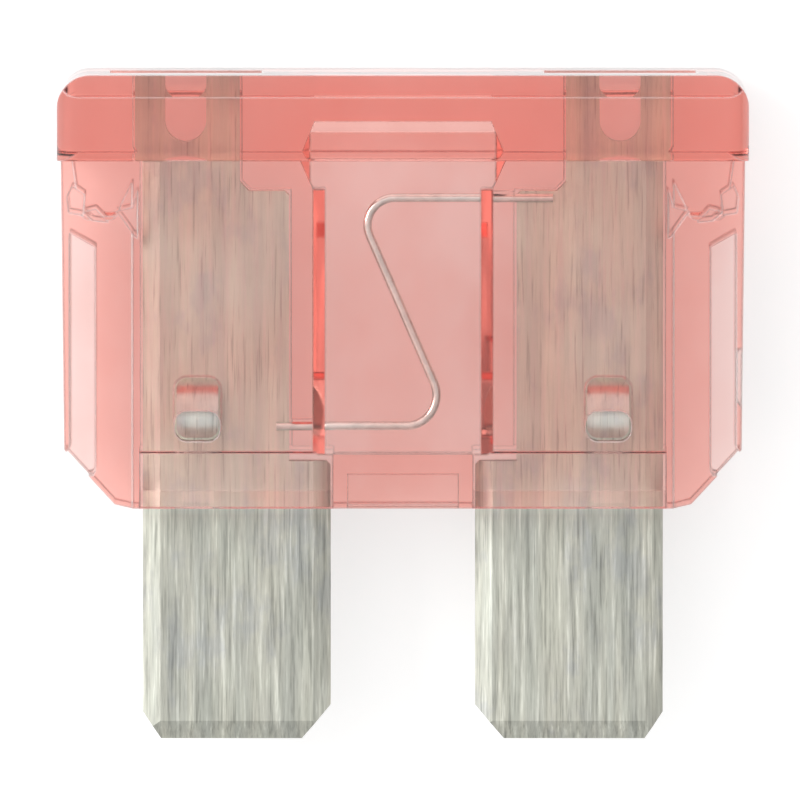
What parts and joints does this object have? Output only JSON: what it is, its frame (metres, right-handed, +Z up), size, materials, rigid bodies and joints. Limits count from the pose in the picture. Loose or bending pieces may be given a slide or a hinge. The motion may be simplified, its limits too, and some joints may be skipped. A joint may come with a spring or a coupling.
{
  "type": "automotive blade fuse",
  "caption": "Regular-size automotive blade fuse: clear tinted housing with a thick head bar and a sunk window over a bent wire link, on flat blade terminals with bevelled tips.",
  "frame": {"origin": "on the ground under the middle of the fuse, which lies on the back of its head bar", "axes": "+X across the blades to the right, +Y along the blades towards the head bar, +Z up through the thickness from back to front"},
  "size_m": [0.019, 0.0186, 0.0051],
  "materials": {
    "housing": "clear pink moulded plastic",
    "terminal": "dull tin-plated zinc sheet with fine streaks along the blades",
    "wire": "bright tinned wire"
  },
  "bodies": {
    "root": {"housing": "housing", "terminal_left": "terminal", "terminal_right": "terminal", "fuse_wire": "wire"}
  },
  "joints": []
}
